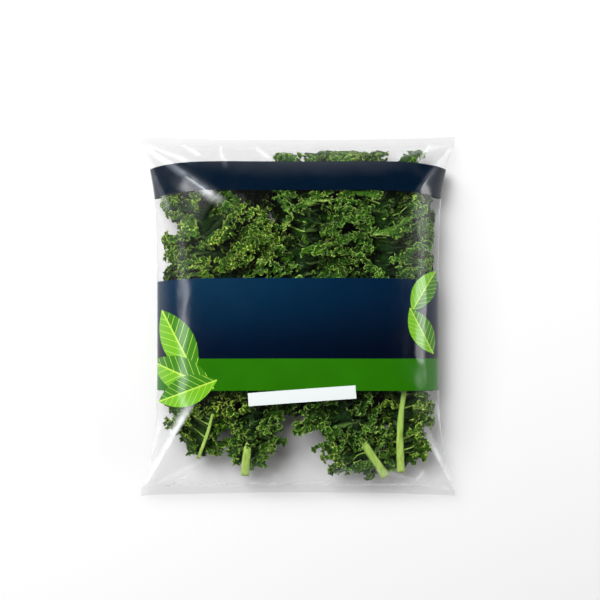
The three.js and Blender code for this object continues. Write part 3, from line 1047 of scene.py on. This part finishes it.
def blade_material(look):
    n = new_material("curly_blade")
    place = n.add("TexCoord", output="Object")
    patches = n.noise(place, 45.0, 3.0)
    mottle = n.noise(place, 300.0, 2.0)
    # The mottle's fine creases: the bump's height, and where painted shade darkens the blade.
    crease = n.math("ABSOLUTE", n.math("MULTIPLY_ADD", mottle, 4.0, -2.0), clamp=True)
    # Greens by the margin tone: the deep green is painted shade down between the curls, and the rim's pale
    # green is partly painted highlight.
    colour = n.ramp(
        n.math("MULTIPLY_ADD", patches, 0.5, n.math("SUBTRACT", n.attribute("margin"), 0.25)),
        (0.1, look.deep_green),
        (0.6, look.blade_green),
        (0.88, look.frill_green),
        (1.0, look.rim_green),
    )
    # Painted shade: the blade darker in those fine creases, and lighter between them.
    colour = n.tint(colour, n.mix(crease, (0.45, 0.5, 0.35), (1.5, 1.5, 1.45)))
    tone = n.math("MULTIPLY_ADD", n.attribute("tone"), 0.2, n.noise(place, 22.0, 1.0))
    colour = n.tint(colour, n.mix(n.steps(tone, 0.2, 0.9), (0.82, 0.95, 1.0), (1.2, 1.06, 0.8)))
    # Painted shade: the leaves of the lower layers darkened by their light value, and single curls varied at
    # random.
    colour = n.tint(colour, n.add("CombineColor", *[n.attribute("light")] * 3))
    colour = n.mix(n.math("MULTIPLY", n.attribute("vein"), 0.75), colour, look.vein_green)
    blade = n.add(
        "BsdfPrincipled",
        Base_Color=colour,
        Roughness=n.math("MULTIPLY_ADD", n.steps(patches, 0.2, 0.8), 0.16, 0.34),
        Normal=n.add("Bump", Strength=0.9, Distance=1.6 * MM, Height=crease),
        Specular_IOR_Level=0.28,
        Sheen_Weight=look.bloom,
        Sheen_Roughness=0.35,
        Sheen_Tint=(0.75, 0.9, 0.7),
    )
    glow = n.add("BsdfTranslucent", n.tint(colour, (1.5, 1.5, 0.7)))
    return n.finish(n.add("MixShader", 0.16, blade, glow))


def stalk_material(look):
    n = new_material("pale_stalk")
    place = n.add("TexCoord", output="Object")
    share = n.attribute("vein")
    fibres = n.noise(n.add("Mapping", place, Scale=(500, 45, 500)), 1.0, 3.0)
    colour = n.ramp(share, (0.0, look.stalk_green), (0.35, look.rib_green), (1.0, look.vein_green))
    colour = n.mix(n.steps(fibres, 0.3, 0.75), colour, n.tint(colour, (0.6, 0.7, 0.45)))
    stalk = n.add(
        "BsdfPrincipled",
        Base_Color=n.mix(n.steps(share, -0.1, -0.6), colour, look.cut_green),
        Roughness=n.math("MULTIPLY_ADD", fibres, 0.2, 0.3),
        Normal=n.add("Bump", Strength=0.4, Distance=0.5 * MM, Height=fibres),
    )
    return n.finish(stalk)


PRINT_EDGE = 0.25 * MM  # over which an ink fades out

# Plain pointed leaves printed beside the panel: place, length and width in millimetres, and turn.
Motif = namedtuple("Motif", "x y length width turn")
MOTIFS = [
    Motif(-104, -22, 66, 30, 118),
    Motif(-101, -50, 62, 30, 158),
    Motif(-96, -64, 56, 26, 200),
    Motif(110, 24, 44, 20, 60),
    Motif(108, -12, 46, 21, 118),
]
# A plain white strip, slightly turned, across the lower edge of the green band.
STRIP = Motif(3.6, -68.2, 93, 11.5, 4.2)


def band_mask(n, height, low, high):
    above = n.steps(height, low - PRINT_EDGE, low + PRINT_EDGE)
    below = n.steps(height, high + PRINT_EDGE, high - PRINT_EDGE)
    return n.math("MULTIPLY", above, below)


def turned_places(n, x, y, motif):
    """Lengthways and crossways place, each from -1 to 1 within the motif's length and width."""
    cosine = math.cos(math.radians(motif.turn))
    sine = math.sin(math.radians(motif.turn))
    x = n.math("SUBTRACT", x, motif.x * MM)
    y = n.math("SUBTRACT", y, motif.y * MM)
    along = n.math("ADD", n.math("MULTIPLY", x, cosine), n.math("MULTIPLY", y, sine))
    across = n.math("SUBTRACT", n.math("MULTIPLY", y, cosine), n.math("MULTIPLY", x, sine))
    long = n.math("MULTIPLY", along, 2 / (motif.length * MM))
    wide = n.math("MULTIPLY", across, 2 / (motif.width * MM))
    return long, wide


def leaf_motif(n, x, y, motif, look):
    """Where a pointed leaf is printed, and its colour: two tones with pale side veins."""
    long, wide = turned_places(n, x, y, motif)
    off = n.math("ABSOLUTE", wide)
    rest = n.math("SUBTRACT", 1.0, n.math("MULTIPLY", long, long))
    mask = n.steps(n.math("SUBTRACT", rest, off), -0.02, 0.02)
    tone = n.mix(n.steps(wide, -0.02, 0.02), look.motif_dark, look.motif_light)
    rows = n.math("SUBTRACT", long, n.math("MULTIPLY", off, 0.45))
    rows = n.math("PINGPONG", n.math("MULTIPLY", rows, 4.5), 0.5)
    vein = n.math("MAXIMUM", n.steps(rows, 0.06, 0.02), n.steps(off, 0.06, 0.03))
    return mask, n.mix(vein, tone, look.motif_vein)


def film_print(n, x, y, place, look):
    """Where there is ink on the flat film, and its colour."""
    band = band_mask(n, y, *HEAD_BAND)
    panel = band_mask(n, y, *MAIN_PANEL)
    green = band_mask(n, y, *GREEN_BAND)
    printed = n.math("MAXIMUM", n.math("MAXIMUM", band, panel), green)
    # Painted light on the panel's navy: lighter at the top and darker at the foot, and darker again towards
    # the right.
    panel_ink_and_light = n.mix(n.steps(y, *MAIN_PANEL), look.panel_low, look.panel_high)
    shade = n.mix(n.steps(x, -90 * MM, 90 * MM), (1, 1, 1), (0.5, 0.5, 0.6))
    colour = n.mix(panel, look.navy, n.tint(panel_ink_and_light, shade))
    colour = n.mix(green, colour, look.green)
    colour = n.tint(colour, n.mix(n.noise(place, 35.0, 2.0), [0.85] * 3, [1.15] * 3))
    motifs = [leaf_motif(n, x, y, motif, look) for motif in MOTIFS]
    long, wide = turned_places(n, x, y, STRIP)
    strip = n.math("MULTIPLY", band_mask(n, long, -1, 1), band_mask(n, wide, -1, 1))
    for mask, tone in (*motifs, (strip, look.strip)):
        colour = n.mix(mask, colour, tone)
        printed = n.math("MAXIMUM", printed, mask)
    return printed, colour


FILM_IOR = 1.36
SEAL_EDGE = (138 * MM, 150 * MM)  # from the bag's middle, where the film turns greyer
SEAL_GREY = 0.03  # less light that it lets through there
GREATEST_SHINE = 0.65  # keeps a film that is seen edge on from turning into a mirror


def bare_film(n, y, rough, normal, look):
    """Clear film without ink, which turns greyer at the seals."""
    # The film reflects alike on both its faces.
    inner_face = n.add("NewGeometry", output="Backfacing")
    ior = n.math("POWER", FILM_IOR, n.math("MULTIPLY_ADD", inner_face, -2.0, 1.0))
    # Light on its way to what lies in the bag loses less than a straight path through would.
    passing = n.add("LightPath", output="Is Shadow Ray")
    shine = n.add("Fresnel", IOR=ior, Normal=normal)
    shine = n.math("MULTIPLY", shine, n.math("MULTIPLY_ADD", passing, -0.8, 1.0))
    shine = n.math("MINIMUM", n.math("MULTIPLY", shine, look.film_shine), GREATEST_SHINE)
    seal = n.steps(n.math("ABSOLUTE", y), *SEAL_EDGE)
    clear = n.mix(seal, [look.film_clear] * 3, [look.film_clear - SEAL_GREY] * 3)
    blurred = n.math("ADD", rough, look.bare_blur)
    gloss = n.add("BsdfGlossy", Color=(1, 1, 1), Roughness=blurred, Normal=normal)
    return n.add("MixShader", shine, n.add("BsdfTransparent", clear), gloss)


def film_material(look):
    n = new_material("printed_film")
    place = n.add("TexCoord", output="Object")
    flat = n.add("UVMap", uv_map="FlatFilm")
    x, y = n.add("SeparateXYZ", flat).node.outputs[:2]
    haze = n.attribute("haze")
    normal = n.add("Bump", Strength=0.12, Distance=0.5 * MM, Height=n.noise(place, 90.0, 1.0))
    rough = n.math("MULTIPLY_ADD", n.noise(place, 60.0, 2.0), 0.12, look.gloss_roughness)
    # Painted highlight: milky white mixed into the bare film along the fold crests.
    glint_white = n.add("BsdfDiffuse", (0.85, 0.87, 0.88))
    bare = bare_film(n, y, rough, normal, look)
    bare = n.add("MixShader", n.math("MULTIPLY", haze, look.crease_haze), bare, glint_white)
    printed, colour = film_print(n, x, y, place, look)
    # Painted highlight: the ink paled towards grey-blue along the same crests.
    colour = n.mix(n.math("MULTIPLY", haze, 0.22), colour, (0.5, 0.56, 0.62))
    ink = n.add("BsdfPrincipled", Base_Color=colour, Roughness=rough, Normal=normal)
    return n.finish(n.add("MixShader", printed, bare, ink))


# ---- what a user would change ----


def setting(kind, **options):
    """A function that makes a property of that kind from its name, description and default."""

    def make(name, description, default):
        return kind(name=name, description=description, default=default, **options)

    return make


Length = setting(FloatProperty, unit="LENGTH", precision=4)
Share = setting(FloatProperty, min=0, max=1, subtype="FACTOR")
Times = setting(FloatProperty, min=0, max=2, subtype="FACTOR")
Angle = setting(FloatProperty, subtype="ANGLE")
Power = setting(FloatProperty, unit="POWER")
Colour = setting(FloatVectorProperty, size=3, subtype="COLOR", min=0, max=1)


class KaleLeafSettings(bpy.types.PropertyGroup):
    thickness: Length("Blade thickness", "Thickness of a leaf's blade", 0.45 * MM)
    lobe_depth: Share("Lobe depth", "How far the margin is cut in between its lobes", 0.38)
    curl: Angle("Rim curl", "How far the rim of a leaf turns up", 2.2)
    curl_start: Share("Curl start", "Share of the blade's width where the rim begins to turn up", 0.25)
    sink: Share("Sink", "Share of the bag's room by which a blade hangs below its rib", 0.3)
    droop: Length("Droop", "How far a ruffle may hang below its layer", 18 * MM)
    vein_height: Length("Vein height", "How far the side veins stand out", 0.35 * MM)
    large_ruffle: Length("Large ruffle", "Wavelength of the large ruffles", 11 * MM)
    middle_ruffle: Length("Middle ruffle", "Wavelength of the ruffles on those", 5 * MM)
    small_ruffle: Length("Small ruffle", "Wavelength of the small ruffles", 3.4 * MM)
    curl_size: Length("Curl size", "Middle size of the small curls", 3.6 * MM)
    curl_wave: Angle("Curl wave", "How strongly the rims of the small curls wave", 0.8)
    crinkle: Length("Crinkle", "How far the crinkles push the blade about", 1.9 * MM)
    crinkle_pitch: Length("Crinkle pitch", "Size of the larger crinkles", 5 * MM)
    blister: Length("Blister", "Height of the blade's uneven bumps", 1.6 * MM)
    blister_pitch: Length("Blister pitch", "Distance between the bumps", 6.5 * MM)
    spread: Times("Spread", "Width of the blades over that of the frame's", 1.22)
    tooth: Length("Tooth", "How far the rim's teeth stand out", 0.8 * MM)
    tooth_pitch: Length("Tooth pitch", "Distance between the rim's teeth", 2.8 * MM)
    bloom: Share("Bloom", "Strength of the waxy bloom on a blade seen aslant", 0.05)
    # From deep to rim green, the blade's colours carry painted shade deep down and, in part, painted
    # highlight at the rims.
    deep_green: Colour("Deep green", "Colour of the blade by the rib", (0.006, 0.030, 0.001))
    blade_green: Colour("Blade green", "Colour of the blade's middle", (0.022, 0.080, 0.001))
    frill_green: Colour("Frill green", "Colour of the ruffles", (0.058, 0.155, 0.003))
    rim_green: Colour("Rim green", "Colour of the rim's edge", (0.32, 0.45, 0.10))
    vein_green: Colour("Vein green", "Colour of the side veins", (0.14, 0.25, 0.06))
    rib_green: Colour("Rib green", "Colour of the rib in the blade", (0.25, 0.38, 0.07))
    stalk_green: Colour("Stalk green", "Colour of the bare stalk", (0.34, 0.46, 0.11))
    cut_green: Colour("Cut green", "Colour of the stalk's cut end", (0.55, 0.62, 0.30))

    @property
    def ruffles(self):
        return [
            Ruffle(self.large_ruffle, 1.25, 0.0, 0.4),
            Ruffle(self.middle_ruffle, 1.45, 0.15, 0.5),
            Ruffle(self.small_ruffle, 1.3, 0.5, 1.0),
        ]


class KaleFilmSettings(bpy.types.PropertyGroup):
    crease: Share("Creases", "Strength of the folds that run in from the corners", 1.0)
    film_clear: Share("Clearness", "Share of the light that bare film lets through", 0.97)
    # Strength of the painted highlight, milky white, along the folds.
    crease_haze: Share("Crease haze", "How milky the film is along its folds", 0.6)
    film_shine: Times("Shine", "Strength of the bare film's reflections", 1.0)
    gloss_roughness: Share("Gloss roughness", "How blurred the print's reflections are", 0.12)
    bare_blur: Share("Bare blur", "How much more those of bare film are blurred", 0.11)
    navy: Colour("Head band ink", "Colour of the band by the seal", (0.0002, 0.0038, 0.0105))
    # The panel's colours at its top and foot carry painted light: lighter at the top, darker at the foot.
    panel_high: Colour("Panel ink, top", "Colour of the panel's upper edge", (0.0005, 0.0145, 0.037))
    panel_low: Colour("Panel ink, foot", "Colour of the panel's lower edge", (0.0002, 0.0028, 0.011))
    green: Colour("Green ink", "Colour of the band below the panel", (0.011, 0.092, 0.0002))
    motif_light: Colour("Motif light", "Colour of a printed leaf's lit half", (0.10, 0.28, 0.010))
    motif_dark: Colour("Motif dark", "Colour of a printed leaf's other half", (0.028, 0.13, 0.005))
    motif_vein: Colour("Motif vein", "Colour of a printed leaf's veins", (0.30, 0.46, 0.05))
    strip: Colour("White strip", "Colour of the plain strip", (0.47, 0.50, 0.50))


class KaleStudioSettings(bpy.types.PropertyGroup):
    camera_height: Length("Camera height", "Height of the camera above the floor", 1.5)
    field_width: Length("Field width", "Width of floor that the picture takes in", 0.54)
    camera_x: Length("Camera X", "Where the camera stands across the bag", 1.8 * MM)
    camera_y: Length("Camera Y", "Where the camera stands along the bag", 14.4 * MM)
    key_power: Power("Key light", "Power of the main light", 43.5)
    dome_power: Power("Dome light", "Power of the wide light", 26.0)
    strip_power: Power("Strip lights", "Power of the left light, which the others follow", 6.0)
    floor_colour: Colour("Floor", "Colour of the floor", (0.52, 0.52, 0.52))


# ---- operators ----


class LeafOperator:
    bl_options = {"REGISTER", "UNDO"}
    leaves = ()

    def execute(self, context):
        look = context.scene.kale_leaf
        blade = bpy.data.materials.get("curly_blade") or blade_material(look)
        stalk = bpy.data.materials.get("pale_stalk") or stalk_material(look)
        for leaf in self.leaves:
            make_leaf(leaf, look, blade, stalk)
        return {"FINISHED"}


class KALE_OT_front_leaves(LeafOperator, bpy.types.Operator):
    """Make the four leaves of the top layer whose stalks point to the lower seal"""

    bl_idname = "kale.front_leaves"
    bl_label = "Front leaves"
    leaves = FRONT_LEAVES


class KALE_OT_head_leaves(LeafOperator, bpy.types.Operator):
    """Make the three leaves of the top layer that fill the head of the bag"""

    bl_idname = "kale.head_leaves"
    bl_label = "Head leaves"
    leaves = HEAD_LEAVES


class KALE_OT_middle_leaves(LeafOperator, bpy.types.Operator):
    """Make the four long leaves of the middle layer"""

    bl_idname = "kale.middle_leaves"
    bl_label = "Middle leaves"
    leaves = MIDDLE_LEAVES


class KALE_OT_back_leaves(LeafOperator, bpy.types.Operator):
    """Make the three long leaves of the back layer"""

    bl_idname = "kale.back_leaves"
    bl_label = "Back leaves"
    leaves = BACK_LEAVES


class KALE_OT_film(bpy.types.Operator):
    """Make the printed pillow bag with its folds, creases and crimped seals"""

    bl_idname = "kale.film"
    bl_label = "Bag film"
    bl_options = {"REGISTER", "UNDO"}

    def execute(self, context):
        look = context.scene.kale_film
        make_film(look, film_material(look))
        return {"FINISHED"}


FLOOR_SIZE = 6
FLOOR_DROP = 0.2 * MM  # below the bag's underside


def area_light(name, place, aim_height, size, power):
    """A rectangular light that faces the middle of the bag at that height."""
    bpy.ops.object.light_add(type="AREA", location=place)
    light = bpy.context.object
    light.name = name
    light.data.shape = "RECTANGLE"
    light.data.size, light.data.size_y = size
    light.data.energy = power
    direction = light.location - type(light.location)((0, 0, aim_height))
    light.rotation_euler = direction.to_track_quat("Z", "Y").to_euler()
    return light


def studio_floor(look):
    bpy.ops.mesh.primitive_plane_add(size=FLOOR_SIZE, location=(0, 0, -FLOOR_DROP))
    floor = bpy.context.object
    floor.name = "studio_floor"
    n = new_material("plain_floor")
    floor.data.materials.append(n.finish(n.add("BsdfDiffuse", look.floor_colour)))


def studio_lights(look):
    # The two lights overhead have no mirror image in the film: that is left to the strips.
    key = area_light("key", (-0.5, 0.62, 1.6), 0, (0.9, 0.9), look.key_power)
    dome = area_light("dome", (-0.3, 0.5, 2.2), 0, (3.5, 3.5), look.dome_power)
    for light in (key, dome):
        light.visible_glossy = False
    area_light("head_strip", (-1.05, 1.1, 1.3), 0, (0.7, 0.5), look.strip_power * 2)
    area_light("left_strip", (-1.2, -0.1, 0.95), 0.03, (1.2, 0.24), look.strip_power)
    area_light("right_strip", (1.25, 0.25, 0.65), 0.03, (0.8, 0.45), look.strip_power * 1.5)


def studio_world():
    """Soft light from the horizon and below, and next to none from overhead."""
    n = Nodes(bpy.data.worlds.new("soft_studio"))
    height = n.add("SeparateXYZ", n.add("TexCoord", output="Generated"), output=2)
    light = n.ramp(height, (0.0, (1, 1, 1)), (0.5, (0.02, 0.02, 0.02)))
    bpy.context.scene.world = n.finish(n.add("Background", light))


def studio_camera(look):
    """Looks straight down, and takes in the field's width at the floor."""
    bpy.ops.object.camera_add(location=(look.camera_x, look.camera_y, look.camera_height))
    camera = bpy.context.object
    camera.data.lens = camera.data.sensor_width * look.camera_height / look.field_width
    bpy.context.scene.camera = camera
    bpy.context.scene.view_settings.view_transform = "Standard"


class KALE_OT_studio(bpy.types.Operator):
    """Make the plain floor, the soft lights and the camera"""

    bl_idname = "kale.studio"
    bl_label = "Studio"
    bl_options = {"REGISTER", "UNDO"}

    def execute(self, context):
        look = context.scene.kale_studio
        studio_floor(look)
        studio_lights(look)
        studio_world()
        studio_camera(look)
        return {"FINISHED"}


SETTINGS = {
    "kale_leaf": KaleLeafSettings,
    "kale_film": KaleFilmSettings,
    "kale_studio": KaleStudioSettings,
}
OPERATORS = [
    KALE_OT_studio,
    KALE_OT_back_leaves,
    KALE_OT_middle_leaves,
    KALE_OT_head_leaves,
    KALE_OT_front_leaves,
    KALE_OT_film,
]


class KALE_PT_bag(bpy.types.Panel):
    """The sidebar's list of what makes the bag of kale"""

    bl_idname = "KALE_PT_bag"
    bl_label = "Bag of curly kale"
    bl_space_type = "VIEW_3D"
    bl_region_type = "UI"
    bl_category = "Kale bag"

    def draw(self, context):
        for name, settings in SETTINGS.items():
            box = self.layout.box()
            for key in settings.__annotations__:
                box.prop(getattr(context.scene, name), key)
        for operator in OPERATORS:
            self.layout.operator(operator.bl_idname)


def register():
    for name, settings in SETTINGS.items():
        bpy.utils.register_class(settings)
        setattr(bpy.types.Scene, name, PointerProperty(type=settings))
    for cls in (*OPERATORS, KALE_PT_bag):
        bpy.utils.register_class(cls)


def unregister():
    for cls in (KALE_PT_bag, *reversed(OPERATORS)):
        bpy.utils.unregister_class(cls)
    for name, settings in SETTINGS.items():
        delattr(bpy.types.Scene, name)
        bpy.utils.unregister_class(settings)


def main():
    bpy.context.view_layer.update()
    register()
    bpy.ops.kale.studio()
    bpy.ops.kale.back_leaves()
    bpy.ops.kale.middle_leaves()
    bpy.ops.kale.head_leaves()
    bpy.ops.kale.front_leaves()
    bpy.ops.kale.film()


if __name__ == "__main__":
    main()
